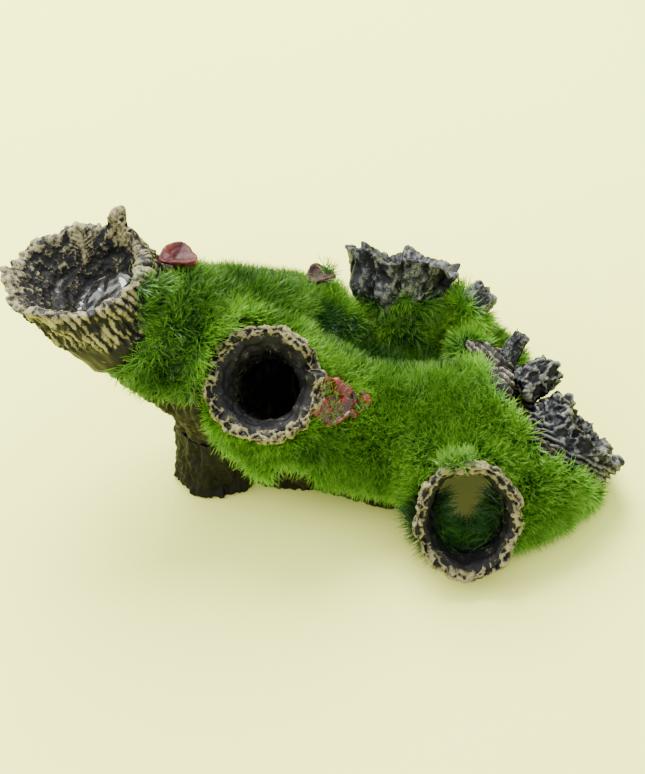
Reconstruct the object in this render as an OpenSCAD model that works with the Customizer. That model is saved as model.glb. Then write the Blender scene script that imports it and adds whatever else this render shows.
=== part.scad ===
// Moss-covered hollow log: a cast resin cave ornament for an aquarium or pond.
// Separate castings stand on glued spigots, sleeves and pegs in one open-bottomed
// trunk, and nylon flock covers the upper surfaces. Millimetres, +Z up. The origin
// is on the floor under the middle of the ornament, and -Y is its front.

/* [Overall] */
// Length of the whole ornament along X
log_length = 176; // [160:1:200]
// Thickness of the trunk's walls
wall = 4.5; // [4:0.5:6]
// Height of the flock above the resin
flock = 3; // [2:0.5:4]

/* [Joints] */
// Gap all round a glued spigot or sleeve, filled by the adhesive
glue_gap = 0.3; // [0.2:0.05:0.5]
// Radius of the spigots behind the mouth, the stump and the log end
spigot_r = 6; // [5:0.5:7]
// Depth that those spigots go into the trunk
spigot_depth = 7; // [5:0.5:8]
// Radius of the pegs that hold the small castings
peg_r = 1.5; // [1:0.25:2]

/* [Knot holes] */
// Outer radius of the centre knot's rim
centre_rim_r = 16.2; // [15:0.1:18]
// Outer radius of the front knot's rim
front_rim_r = 15.7; // [15:0.1:17]
// Height of a knot's rim above its seat on the trunk
knot_rise = 9; // [7:0.5:11]

/* [Hidden] */

k = log_length / 176;    // every place below is for a 176 mm log
far = 250;               // longer than the ornament, for cutting blocks
limb_fn = 20;            // facets round a limb's spheres
around = 36;             // points round a cast rim
bore_fn = 48;            // facets round a socket in the trunk

// Limbs of the trunk. Each row is [x, y, z, radius, radius of its footprint or 0].
main_log = k * [
    [-46, 7, 51, 18.5, 0],
    [-26, 3, 38, 20, 0],
    [-11, -1, 29, 20, 8],
    [9, -1.5, 18.5, 17, 10.5],
    [26, -4.5, 16.5, 17.5, 14],
    [50, -4, 17.5, 19, 15],
    [70, -8, 14, 16, 12]
];
rear_ridge = k * [
    [-24, 14, 38, 18, 0],
    [0, 26, 29.5, 12.5, 10],
    [22, 31, 19, 11, 9],
    [38, 31, 22, 11, 8],
    [54, 25, 12, 9, 7]
];
valley_floor = k * [
    [0, 14, 22, 13, 8],
    [24, 14, 14, 13, 11],
    [46, 12, 12, 12, 10]
];
front_limb = k * [
    [34, -8, 16.5, 16, 13],
    [44, -24, 15, 14.5, 12],
    [62, -19, 11, 12, 11]
];
stump_boss = k * [
    [22, 31, 19, 11, 0],
    [25, 33, 28, 12, 0]
];
bark_edge = k * [
    [45, 17, 29, 4.5, 0],
    [54, 11, 29, 4.5, 0],
    [64, 5, 25, 4.5, 0]
];
foot_column = k * [
    [-25, 3, 34, 15, 0],
    [-28, -1.5, 12, 11, 12]
];
cave_start = k * [-9, 0, 34, 11, 0];     // the cave's end, under the centre knot
middle = k * [1.9, 3.9, 0]; // middle of the ornament's box, in the places' own frame
foot_seam = 20 * k;      // height of the joint between the foot and the trunk

// Where each casting meets the trunk, which way it points, and its open end
mouth_at = k * [-51, 7.5, 51.5];
mouth_dir = unit([-0.68, 0, 0.73]);
mouth_rim_at = k * [-65.2, 7.2, 70.2];
mouth_rim_dir = unit([-0.16, 0.06, 0.98]);
mouth_finger = [163, 7.5 * k, 13];    // angle on the rim, height, half width
stump_at = k * [25, 33, 29];
stump_dir = unit([0.08, 0.6, 0.8]);
stump_rim_at = k * [26.5, 40.5, 46.3];
end_at = k * [71, -6, 13.5];
end_dir = unit([0.75, 0.3, 0.59]);
end_rim_at = k * [79.5, -2.5, 18];
branch_at = k * [42.5, 31, 30.3];
branch_dir = unit([0.75, 0.33, 0.57]);
branch_r = 5.5 * k;
upper_stub_r = 3.2 * k;
lower_stub_r = 6 * k;
upper_stub_at = k * [56, 12, 31];
upper_stub_dir = unit([0.45, 0.45, 0.75]);
lower_stub_at = k * [59, 6, 25.5];
lower_stub_dir = unit([0.85, 0.45, 0.25]);
centre_seat = k * [-12.5, -11.2, 43.3];
centre_dir = unit([-0.1, -0.6, 0.8]);
front_seat = k * [43, -31.8, 15.2];
front_dir = unit([0, -0.87, 0.5]);

// Knot sizes: [rim radius, sleeve radius, bore radius, depth of sleeve, ovalness]
centre_knot_size = [k * centre_rim_r, 11.5 * k, 8.5 * k, 6 * k, 0];
front_knot_size = [k * front_rim_r, 12 * k, 10 * k, 7 * k, 0.07];

// Bracket fungi: [place on the trunk, direction of the cap's top, cap radius, seed]
fungus_large = [k * [5, -10.5, 36.5], unit([0.1, -0.6, 0.8]), 6.8 * k, 1];
fungus_small = [k * [10.3, -9, 34], unit([0.35, -0.5, 0.8]), 4.4 * k, 2];
fungus_mouth = [k * [-37.5, 14.5, 65], unit([0.1, 0.1, 1]), 5.3 * k, 3];
fungus_rear = [k * [2, 31, 43], unit([0, 0.1, 1]), 4.2 * k, 4];
fungus_stalk = 3.5 * k;  // how far a cap's middle stands off the trunk
peg_depth = 3 * k;       // how far a peg goes in

function unit(v) = v / norm(v);
function sum(v, i = 0) = i == len(v) ? 0 : v[i] + sum(v, i + 1);
function centroid(points) = [for (c = [0:2]) sum([for (p = points) p[c]]) / len(points)];

// Waves round a rim, between about -1 and 1: bark flutes, and the broken edge
function flutes(a, seed) = (sin(9 * a + 40 * seed) + 0.6 * sin(13 * a + 95 * seed)
    + 0.5 * sin(4 * a + 150 * seed)) / 2.1;
function breaks(a, seed) = (sin(5 * a + 70 * seed) + 0.7 * sin(8 * a + 20 * seed)) / 1.7;
// A tall tooth on a rim: [angle, height, half width in degrees]
function tooth(a, t) = t[1] * exp(-pow((a - t[0]) / t[2], 2));

// A ring of points round p, square to n. radii and lifts hold one value per point.
function ring(p, n, radii, lifts) = let(
        e1 = unit(cross([0, 0, 1], n)),
        e2 = cross(n, e1))
    [for (i = [0:around - 1]) let(a = 360 * i / around)
        p + radii[i] * (cos(a) * e1 + sin(a) * e2) + lifts[i] * n];

// A ring of a broken limb: t runs from its joint (0) to its open end (1), and
// size is the share of the outer radius there
function limb_ring(a_end, b_end, t, size, flute, jag, seed, finger) = let(
        p = a_end[0] + (b_end[0] - a_end[0]) * t,
        n = unit(a_end[1] + (b_end[1] - a_end[1]) * t),
        r = (a_end[2] + (b_end[2] - a_end[2]) * t) * size)
    ring(p, n,
        [for (i = [0:around - 1]) r * (1 + flute * flutes(360 * i / around, seed))],
        [for (i = [0:around - 1]) let(a = 360 * i / around)
            r * jag * breaks(a, seed) + (t == 1 ? tooth(a, finger) : 0)]);

// Brings the origin under the middle of the whole ornament
module centred() {
    translate(-middle)
        children();
}
// Turns +Z towards n, at p
module place(p, n) {
    translate(p)
        rotate([0, acos(n.z), atan2(n.y, n.x)])
            children();
}

// A closed skin over rings. A tube joins its last ring to its first, and anything
// else is closed by a fan at each end.
module skin(rings, tube = false) {
    count = len(rings);
    last = (count - 1) * around;
    corners = [for (r = rings) each r];
    hubs = tube ? [] : [centroid(rings[0]), centroid(rings[count - 1])];
    sides = [for (j = [0:count - (tube ? 1 : 2)], i = [0:around - 1]) let(
            here = j * around,
            next = ((j + 1) % count) * around,
            i2 = (i + 1) % around)
        each [[here + i, next + i, next + i2], [here + i, next + i2, here + i2]]];
    ends = tube ? [] : [for (i = [0:around - 1]) let(i2 = (i + 1) % around)
        each [[i, i2, count * around], [last + i2, last + i, count * around + 1]]];
    polyhedron(points = concat(corners, hubs), faces = concat(sides, ends));
}

// A plain ring of a spigot or a peg, h along n from p
function round_ring(p, n, r, h) = ring(p + h * n, n,
    [for (i = [0:around - 1]) r],
    [for (i = [0:around - 1]) 0]);

// A broken limb between two ends of [place, direction, radius], on a spigot of
// [radius, depth]. It is hollowed from its open end down to floor_t, where its floor
// is floor_size of the radius.
module broken_limb(a_end, b_end, pin, floor_t, floor_size, jag, seed, finger = [0, 0, 1]) {
    lip = 1 - 2.6 / b_end[2];
    skin([
        round_ring(a_end[0], a_end[1], pin[0], -pin[1]),
        round_ring(a_end[0], a_end[1], pin[0], 0),
        limb_ring(a_end, b_end, 0, 1, 0, 0, seed, finger),
        limb_ring(a_end, b_end, 0.35, 0.98, 0.05, 0, seed, finger),
        limb_ring(a_end, b_end, 0.75, 0.97, 0.07, jag * 0.4, seed, finger),
        limb_ring(a_end, b_end, 1, 1, 0.06, jag, seed, finger),
        limb_ring(a_end, b_end, 1, lip, 0.04, jag * 0.9, seed, finger),
        limb_ring(a_end, b_end, 1 - (1 - floor_t) * 0.6, (lip + floor_size) / 2, 0.02, 0, seed, finger),
        limb_ring(a_end, b_end, floor_t, floor_size, 0, 0, seed, finger)
    ]);
}

// A knot's rim and sleeve: one closed tube whose wall runs from the seat, out over
// the crest and down the bore to the end of the sleeve
function knot_ring(p, n, r, h, oval, flute, jag, seed) = ring(p + h * n, n,
    [for (i = [0:around - 1]) let(a = 360 * i / around)
        r * (1 - oval * cos(2 * a) + flute * flutes(a, seed))],
    [for (i = [0:around - 1]) jag * breaks(360 * i / around, seed)]);
module knot(p, n, size, seed) {
    rim_r = size[0];
    sleeve_r = size[1];
    bore_r = size[2];
    oval = size[4];
    skin([
        knot_ring(p, n, sleeve_r + 1, 0, oval, 0, 0, seed),
        knot_ring(p, n, rim_r * 0.9, knot_rise * 0.4, oval, 0.04, 0, seed),
        knot_ring(p, n, rim_r, knot_rise * 0.8, oval, 0.05, 0.4, seed),
        knot_ring(p, n, rim_r * 0.94, knot_rise, oval, 0.04, 0.8, seed),
        knot_ring(p, n, rim_r * 0.8, knot_rise * 0.9, oval, 0.02, 0.5, seed),
        knot_ring(p, n, bore_r + 1.2, knot_rise * 0.3, oval, 0, 0, seed),
        knot_ring(p, n, bore_r, -size[3], 0, 0, 0, seed),
        knot_ring(p, n, sleeve_r, -size[3], 0, 0, 0, seed),
        knot_ring(p, n, sleeve_r, 0, 0, 0, 0, seed)
    ], tube = true);
}
// The room that a knot takes in the trunk and in the flock round it
module knot_room(p, n, size) {
    place(p, n) {
        translate([0, 0, -size[3] - 9 * k])
            cylinder(r = size[1] + glue_gap, h = size[3] + 10 * k, $fn = bore_fn);
        cylinder(r = size[0] * 1.13, h = 3 * knot_rise, $fn = bore_fn);
    }
}
module knot_glue(p, n, size) {
    color([0.75, 0.72, 0.6]) centred()
        place(p, n)
            translate([0, 0, -wall * 0.8])
                difference() {
                    cylinder(r = size[1] + glue_gap * 0.85, h = wall * 0.7, $fn = bore_fn);
                    translate([0, 0, -1])
                        cylinder(r = size[1], h = wall + 2, $fn = bore_fn);
                }
}

// The socket for a spigot, along n from p into the trunk
module socket(p, n) {
    place(p, n)
        translate([0, 0, -spigot_depth - 0.5])
            cylinder(r = spigot_r + glue_gap, h = spigot_depth + 1, $fn = bore_fn);
}
module spigot_glue(p, n) {
    color([0.75, 0.72, 0.6]) centred()
        place(p, n)
            translate([0, 0, -spigot_depth])
                difference() {
                    cylinder(r = spigot_r + glue_gap * 0.85, h = spigot_depth - 0.2, $fn = bore_fn);
                    translate([0, 0, -1])
                        cylinder(r = spigot_r, h = spigot_depth + 2, $fn = bore_fn);
                }
}
// The flat cut in front of a casting that ends a limb
module seat_cut(p, n, r, h = 60) {
    place(p, n)
        cylinder(r = r, h = h, $fn = bore_fn);
}

// A small casting: a rough stub on a peg, from p along n
module stub(p, n, r, length, seed) {
    broken_limb([p, n, r], [p + length * n, n, r * 0.75], [peg_r, peg_depth],
        0.8, 0.3, 0.25, seed);
}
module stub_room(p, n, r) {
    place(p, n) {
        translate([0, 0, -peg_depth])
            cylinder(r = peg_r, h = peg_depth + 1, $fn = 32);
        cylinder(r = r * 1.12, h = 12 * k, $fn = 32);
    }
}

// A bracket fungus cap: a lobed shelf with a rolled edge, on a short stalk and peg
module cap(f) {
    n = f[1];
    middle = f[0] + fungus_stalk * n;
    rows = [[0.35, -1.4], [0.75, -0.9], [1, 0.3], [0.94, 1.1], [0.5, 0.5], [0.15, 0.2]];
    peg = [for (h = [-peg_depth, fungus_stalk - 1.6 * k]) round_ring(f[0], n, peg_r, h)];
    shelf = [for (row = rows) ring(middle + row[1] * k * n, n,
        [for (i = [0:around - 1]) let(a = 360 * i / around)
            f[2] * row[0] * (1 + 0.1 * sin(3 * a + 80 * f[3]))],
        [for (i = [0:around - 1]) row[0] * 0.6 * k * sin(720 * i / around + 50 * f[3])])];
    skin(concat(peg, shelf));
}
module cap_room(f) {
    place(f[0], f[1]) {
        translate([0, 0, -peg_depth])
            cylinder(r = peg_r, h = peg_depth + 6 * k, $fn = 32);
        translate([0, 0, fungus_stalk - 2.2 * k])
            cylinder(r = f[2] * 1.15, h = 6 * k, $fn = 32);
    }
}

// Rounded links between the rows of a limb, thicker or thinner by grow
module limb(rows, grow = 0) {
    for (i = [0:len(rows) - 2])
        hull() {
            limb_end(rows[i], grow);
            limb_end(rows[i + 1], grow);
        }
}
module limb_end(row, grow) {
    translate([row.x, row.y, row.z])
        sphere(r = row[3] + grow, $fn = limb_fn);
    if (row[4] > 0)
        translate([row.x, row.y, -1])
            cylinder(r = row[4] + grow, h = 2, $fn = limb_fn);
}
module above_floor(z = 0) {
    intersection() {
        children();
        translate([-far, -far, z])
            cube([2 * far, 2 * far, far]);
    }
}
// The outside of the trunk and its foot, or a layer's thickness outside it
module log_body(grow = 0) {
    limb(main_log, grow);
    limb(rear_ridge, grow);
    limb(valley_floor, grow);
    limb(front_limb, grow);
    limb(foot_column, grow);
}
function thinned(row) = [row.x, row.y, row.z, row[3] - wall, row[4] - wall];
// The cave under the log, open to the floor and through an arch at the back
module cave() {
    limb(concat([cave_start], [for (i = [3:len(main_log) - 1]) thinned(main_log[i])]));
    limb([for (i = [1:len(rear_ridge) - 1]) rear_ridge[i]], -wall);
    limb(valley_floor, -wall);
    limb(front_limb, -wall);
    translate(k * [0, -5, -1])
        cube(k * [40, 35, 13]);
    translate(k * [40, -22, -1])
        cube(k * [14, 20, 5]);
    rear_arch();
}
module rear_arch() {
    translate(k * [32, 0, -1])
        cube(k * [18, 60, 11]);
    translate(k * [41, 0, 10])
        rotate([-90, 0, 0])
            cylinder(r = 9 * k, h = 60 * k, $fn = 32);
}
// Everything that the other castings need out of the trunk and the flock
module casting_rooms() {
    seat_cut(mouth_at, mouth_dir, 40 * k);
    seat_cut(stump_at, stump_dir, 19 * k);
    seat_cut(end_at, end_dir, 26 * k);
    knot_room(centre_seat, centre_dir, centre_knot_size);
    knot_room(front_seat, front_dir, front_knot_size);
    stub_room(branch_at, branch_dir, branch_r + flock);
    stub_room(upper_stub_at, upper_stub_dir, upper_stub_r);
    stub_room(lower_stub_at, lower_stub_dir, lower_stub_r);
    for (f = [fungus_large, fungus_small, fungus_mouth, fungus_rear])
        cap_room(f);
}
// The foot's own outline up to its seam, or the recess round it
module foot_blank(from_z, grow = 0) {
    intersection() {
        limb(foot_column, grow);
        translate(k * [-60, -40, 0] + [0, 0, from_z])
            cube([70 * k, 70 * k, foot_seam - from_z]);
    }
}

module trunk_shell() {
    color([0.24, 0.22, 0.19]) centred()
        difference() {
            above_floor()
                union() {
                    log_body();
                    limb(bark_edge);
                    limb(stump_boss);
                }
            cave();
            casting_rooms();
            foot_blank(-1, glue_gap);
            socket(mouth_at, mouth_dir);
            socket(stump_at, stump_dir);
            socket(end_at, end_dir);
            foot_peg_holes();
        }
}
foot_pegs = k * [[-31, 5], [-24, -3]];
module foot_peg_holes() {
    for (p = foot_pegs)
        translate([p.x, p.y, foot_seam - 1])
            cylinder(r = 3 * k + glue_gap, h = 6 * k + 1, $fn = bore_fn);
}
module root_foot() {
    color([0.2, 0.18, 0.15]) centred() {
        foot_blank(0);
        for (p = foot_pegs)
            translate([p.x, p.y, foot_seam - 1])
                cylinder(r = 3 * k, h = 6 * k + 0.5, $fn = bore_fn);
    }
}
module left_log_mouth() {
    color([0.62, 0.59, 0.48]) centred() {
        broken_limb([mouth_at, mouth_dir, 17.5 * k], [mouth_rim_at, mouth_rim_dir, 20.5 * k],
            [spigot_r, spigot_depth], 0.42, 0.5, 0.08, 1, mouth_finger);
    }
}
module centre_knot() {
    color([0.66, 0.63, 0.5]) centred()
        knot(centre_seat, centre_dir, centre_knot_size, 2);
}
module front_knot() {
    color([0.66, 0.63, 0.5]) centred()
        knot(front_seat, front_dir, front_knot_size, 5);
}
module rear_stump() {
    color([0.36, 0.37, 0.37]) centred() {
        broken_limb([stump_at, stump_dir, 12 * k], [stump_rim_at, stump_dir, 17 * k],
            [spigot_r, spigot_depth], 0.6, 0.5, 0.12, 3);
    }
}
module rear_side_branch() {
    color([0.4, 0.41, 0.4]) centred()
        stub(branch_at, branch_dir, branch_r, 12 * k, 4);
}
module right_log_end() {
    color([0.34, 0.35, 0.35]) centred() {
        broken_limb([end_at, end_dir, 15 * k], [end_rim_at, end_dir, 14 * k],
            [spigot_r, spigot_depth], 0.55, 0.5, 0.1, 6);
    }
}
module side_stub_upper() {
    color([0.3, 0.3, 0.29]) centred()
        stub(upper_stub_at, upper_stub_dir, upper_stub_r, 9 * k, 7);
}
module side_stub_lower() {
    color([0.3, 0.3, 0.29]) centred()
        stub(lower_stub_at, lower_stub_dir, lower_stub_r, 12 * k, 8);
}
module centre_bracket_fungus() {
    color([0.42, 0.06, 0.07]) centred() {
        cap(fungus_large);
        cap(fungus_small);
    }
}
module mouth_bracket_fungus() {
    color([0.55, 0.16, 0.12]) centred()
        cap(fungus_mouth);
}
module rear_bracket_fungus() {
    color([0.42, 0.24, 0.14]) centred()
        cap(fungus_rear);
}

module glue_left_log_mouth() {
    spigot_glue(mouth_at, mouth_dir);
}
module glue_centre_knot() {
    knot_glue(centre_seat, centre_dir, centre_knot_size);
}
module glue_front_knot() {
    knot_glue(front_seat, front_dir, front_knot_size);
}
module glue_rear_stump() {
    spigot_glue(stump_at, stump_dir);
}
module glue_right_log_end() {
    spigot_glue(end_at, end_dir);
}
module glue_root_foot() {
    color([0.75, 0.72, 0.6]) centred()
        for (p = foot_pegs)
            translate([p.x, p.y, foot_seam + 0.2])
                difference() {
                    cylinder(r = 3 * k + glue_gap * 0.85, h = 5 * k, $fn = bore_fn);
                    translate([0, 0, -1])
                        cylinder(r = 3 * k, h = 8 * k, $fn = bore_fn);
                }
}

// One patch of flock with its adhesive coat: the layer on the log inside a box
module moss_patch(low, high) {
    color([0.33, 0.55, 0.14]) centred()
        difference() {
            intersection() {
                log_body(flock);
                translate(k * low)
                    cube(k * (high - low));
            }
            log_body();
            limb(bark_edge, 0.2);
            limb(stump_boss, 0.2);
            casting_rooms();
        }
}
module moss_left_arm() {
    moss_patch([-60, -30, 38], [-32, 60, 90]);
}
module moss_crown() {
    moss_patch([-32, -40, 23], [-1, 22, 90]);
}
module moss_front_slope() {
    moss_patch([-1, -40, 4], [30, 3, 60]);
}
module moss_valley() {
    moss_patch([-1, 3, 14], [42, 22, 60]);
}
module moss_rear_ridge() {
    moss_patch([-32, 22, 22], [66, 41, 70]);
}
module moss_right_slope() {
    moss_patch([30, -60, 3], [90, 3, 60]);
}
module moss_right_saddle() {
    moss_patch([42, 3, 12], [66, 22, 60]);
}
module moss_leg_side() {
    moss_patch([-22, -40, 4], [-1, 3, 23]);
}
module moss_branch_tuft() {
    color([0.45, 0.65, 0.16]) centred()
        difference() {
            place(branch_at, branch_dir)
                cylinder(r = branch_r * 1.12 + flock, h = 8 * k, $fn = 32);
            place(branch_at - branch_dir, branch_dir)
                cylinder(r = branch_r * 1.12, h = 10 * k, $fn = 32);
            seat_cut(stump_at, stump_dir, 19 * k);
        }
}
module moss_front_knot_floor() {
    color([0.2, 0.4, 0.1]) centred()
        place(front_seat, front_dir)
            translate([0, 0, -6 * k])
                intersection() {
                    difference() {
                        cylinder(r = 9.5 * k, h = 5 * k, $fn = bore_fn);
                        translate([0, 0, -1])
                            cylinder(r = 7.5 * k, h = 7 * k, $fn = bore_fn);
                    }
                    translate([0, -20 * k, 0])
                        cube(k * [20, 40, 20]);
                }
}

trunk_shell();
root_foot();
left_log_mouth();
centre_knot();
front_knot();
rear_stump();
rear_side_branch();
right_log_end();
side_stub_upper();
side_stub_lower();
centre_bracket_fungus();
mouth_bracket_fungus();
rear_bracket_fungus();
glue_left_log_mouth();
glue_centre_knot();
glue_front_knot();
glue_rear_stump();
glue_right_log_end();
glue_root_foot();
moss_left_arm();
moss_crown();
moss_front_slope();
moss_valley();
moss_rear_ridge();
moss_right_slope();
moss_right_saddle();
moss_branch_tuft();
moss_leg_side();
moss_front_knot_floor();
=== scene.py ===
import math

import bpy
import numpy as np
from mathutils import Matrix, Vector, noise
from mathutils.bvhtree import BVHTree
from mathutils.kdtree import KDTree


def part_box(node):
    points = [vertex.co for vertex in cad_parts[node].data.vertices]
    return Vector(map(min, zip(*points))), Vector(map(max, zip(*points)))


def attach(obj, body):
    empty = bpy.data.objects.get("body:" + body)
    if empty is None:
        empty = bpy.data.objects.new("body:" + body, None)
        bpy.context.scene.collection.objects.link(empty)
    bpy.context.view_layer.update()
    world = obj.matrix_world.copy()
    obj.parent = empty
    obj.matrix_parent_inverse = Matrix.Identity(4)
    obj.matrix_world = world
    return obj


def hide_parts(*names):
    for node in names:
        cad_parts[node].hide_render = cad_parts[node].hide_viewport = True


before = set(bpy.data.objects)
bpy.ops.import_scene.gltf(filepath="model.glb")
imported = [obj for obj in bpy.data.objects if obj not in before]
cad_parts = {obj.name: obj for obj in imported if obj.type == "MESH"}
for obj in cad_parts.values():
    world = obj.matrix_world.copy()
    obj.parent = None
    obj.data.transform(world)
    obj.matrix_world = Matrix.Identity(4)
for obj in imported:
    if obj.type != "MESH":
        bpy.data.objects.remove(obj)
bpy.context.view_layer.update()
MM = 0.001

# %% [markdown]
# ## Helpers
# Colours are sRGB hex, as a paint chart gives them, and are turned into linear light once,
# here. One function adds a node, with its settings and links, to any kind of node tree.
# %% Colours in linear light


def linear(hex_colour):
    """Linear RGBA from an sRGB hex string."""
    channels = [int(hex_colour[i : i + 2], 16) / 255 for i in (0, 2, 4)]
    return [c / 12.92 if c <= 0.04045 else ((c + 0.055) / 1.055) ** 2.4 for c in channels] + [1.0]


print("sRGB 808080 is", round(linear("808080")[0], 3), "in linear light")

# %% Nodes and materials


def add(tree, kind, inputs=None, stops=(), **settings):
    """Adds a node. inputs gives each socket a value, or an output socket to link from, and
    stops gives a colour ramp its (place, sRGB hex) pairs."""
    node = tree.nodes.new(kind)
    for key, value in settings.items():
        setattr(node, key, value)
    for key, value in (inputs or {}).items():
        if isinstance(value, bpy.types.NodeSocket):
            tree.links.new(value, node.inputs[key])
        else:
            node.inputs[key].default_value = value
    if stops:
        elements = node.color_ramp.elements
        while len(elements) < len(stops):
            elements.new(0.5)
        for element, (place, colour) in zip(elements, stops):
            element.position, element.color = place, linear(colour)
    return node


def shader(name, **constants):
    """A new material with its Principled shader, whose constants are set directly."""
    material = bpy.data.materials.new(name)
    material.use_nodes = True
    surface = material.node_tree.nodes["Principled BSDF"]
    for key, value in constants.items():
        surface.inputs[key.replace("_", " ")].default_value = value
    return material, material.node_tree, surface


def surface_of(mesh):
    """A mesh's faces in a search tree, which finds the nearest one fast."""
    places = [v.co.copy() for v in mesh.vertices]
    return BVHTree.FromPolygons(places, [list(p.vertices) for p in mesh.polygons])


print(len(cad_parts), "CAD nodes to give their looks")

# %% [markdown]
# ## Shapes of the castings
# Ornaments like this are cast in stone-filled resin, in rubber moulds taken from carved
# masters. The carver works broken wood and pitted bark into the surface. Here each CAD
# casting is copied, meshed evenly and carved by noise that runs in the casting's own
# directions: round it, along it and across its wall. The CAD nodes stay as they are.
# A modifier with a noise texture could do this too, but it can't follow the grain.
# %% Noise


def field(points, size, seed, octaves=2):
    """Smooth noise of about -1 to 1 at each point. size is the width of a blob, in mm."""
    shift = Vector((17.3, 5.9, 11.1)) * seed
    return np.array([noise.fractal(Vector(p) / size + shift, 0.8, 2.1, octaves) for p in points]) * 1.5


def cells(points, size, seed):
    """Distances to the nearest and second nearest seed point, in shares of a cell's size."""
    shift = Vector((3.1, 13.7, 7.9)) * seed
    return np.array([noise.voronoi(Vector(p) / size + shift)[0][:2] for p in points]).T


def rise(value, low, high):
    """0 below low, 1 above high, and smooth between."""
    s = np.clip((value - low) / (high - low), 0, 1)
    return s * s * (3 - 2 * s)


def unit(v):
    """v at length 1."""
    return v / np.linalg.norm(v, axis=-1, keepdims=True)


print("Bark noise every 2 mm:", np.round(field(np.arange(5)[:, None] * (2.0, 0, 0), 4.5, 31), 2))

# %% Directions round a casting

# The way that the mouth's cup opens
CUP = (-0.16, 0.06, 0.98)
# Each casting's foot and open end: place in mm, then direction
AXES = {
    "left_log_mouth": ((-64.7, 2.4, 55.4), CUP, (-67.1, 3.3, 70.2), CUP),
    "centre_knot": ((-14.4, -15.1, 43.3), (-0.1, -0.6, 0.8), (-15.3, -20.5, 50.5), (-0.1, -0.6, 0.8)),
    "front_knot": ((41.1, -35.7, 15.2), (0, -0.87, 0.5), (41.1, -43.5, 19.7), (0, -0.87, 0.5)),
    "rear_stump": ((23.1, 29.1, 29), (0.08, 0.6, 0.8), (24.6, 36.6, 46.3), (0.08, 0.6, 0.8)),
    "right_log_end": ((69.1, -9.9, 13.5), (0.75, 0.3, 0.59), (77.6, -6.4, 18), (0.75, 0.3, 0.59)),
    "rear_side_branch": ((40.6, 27.1, 30.3), (0.75, 0.33, 0.57), (49.6, 31.1, 37.2), (0.75, 0.33, 0.57)),
    "side_stub_upper": ((54.1, 8.1, 31), (0.45, 0.45, 0.75), (58.2, 12.2, 37.9), (0.45, 0.45, 0.75)),
    "side_stub_lower": ((57.1, 2.1, 25.5), (0.85, 0.45, 0.25), (67.4, 7.5, 28.5), (0.85, 0.45, 0.25)),
}


def around(name, points, normals):
    """For each point: share of the way from foot to open end, angle round the axis, axis,
    outward direction, and how far the surface faces outward."""
    foot, foot_dir, end, end_dir = (np.array(v, float) for v in AXES[name])
    axis = end - foot
    t = (points - foot) @ axis / (axis @ axis)
    s = np.clip(t, 0, 1)[:, None]
    n = unit(foot_dir * (1 - s) + end_dir * s)
    e1 = unit(np.cross((0, 0, 1), n))
    e2 = np.cross(n, e1)
    arm = points - (foot + axis * s)
    x, y = (arm * e1).sum(1), (arm * e2).sum(1)
    outward = unit(e1 * x[:, None] + e2 * y[:, None] + 1e-9)
    return t, np.arctan2(y, x), n, outward, (normals * outward).sum(1)


for name, (foot, _, end, _) in AXES.items():
    print(f"{name}: {math.dist(foot, end):.1f} mm from foot to open end")

# %% [markdown]
# ### Patterns of wood and bark
# Broken wood is strips and grooves along the grain, with flecks between them. Pitted bark
# shows angular cells between thin raised edges. Each pattern is a number for every point,
# so a carving can add them up. Sizes are in mm, and angles run round the casting's axis.
# %% Patterns


def strips(angle, t, points, count, slant, seed):
    """1 on the crest of a strip of wood and 0 in the groove beside it."""
    phase = count * (angle + slant * t) + 1.3 * field(points, 6, seed)
    return np.sqrt(np.abs(np.sin(phase / 2)))


def streaks(angle, t, turn, run, seed):
    """Flecks of -1 to 1 along the grain: turn of them to a radian, run from foot to end."""
    return field(np.stack([np.cos(angle) * turn, np.sin(angle) * turn, t * run], 1), 1, seed, 3)


def leaf(angle, t, middle, reach):
    """A carved leaf on an inner wall: a midrib with slanting veins. It grows with reach."""
    across = (np.mod(angle - middle + math.pi, 2 * math.pi) - math.pi) * 14
    along = (t - 0.5) * 21
    inside = rise(reach - np.abs(across) * 1.3 - np.abs(along - 6) * 0.5, 0, 1.5)
    veins = np.cos((along - np.abs(across) * 0.9) * 2.6) ** 4
    return inside * np.maximum(veins * 0.8, np.exp(-((across / 0.5) ** 2)))


def bump_at(angle, middle, width):
    """1 at an angle round the axis, falling off to both sides."""
    return np.exp(-(((np.mod(angle - middle + math.pi, 2 * math.pi) - math.pi) / width) ** 2))


def web(points, size, seed):
    """1 on the thin raised edges between angular pits, and 0 in the pits."""
    bent = points + 0.5 * np.stack([field(points, 2, seed + i) for i in range(3)], 1)
    near, second = cells(bent, size, seed)
    return rise(0.28 - (second - near), 0, 0.2)


line = np.arange(300)[:, None] * (0.2, 0.1, 0)
print("Share of pitted bark that is raised:", round(web(line, 3, 12).mean(), 2))

# %% [markdown]
# ### The log mouth
# The mouth is a flared cup of fluted wood. Its rim rises in lobes, one of them a tall
# finger at the back right, and its left side opens in broad folded petals. Inside are
# scratches and a carved leaf, and the floor is glazed as if water stood in it. Each
# carving returns how far every point moves, in mm, how much light paint it takes, and how
# wet the varnish looks there.
# %% Carving of the log mouth
FLUTES, PETALS = 56, 13
# Angles round the mouth: the petals at its left, the leaf at its back, the darker back right
PETALS_AT, LEAF_AT, DARKER_AT = 4.9, 3.5, 2.2


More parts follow.
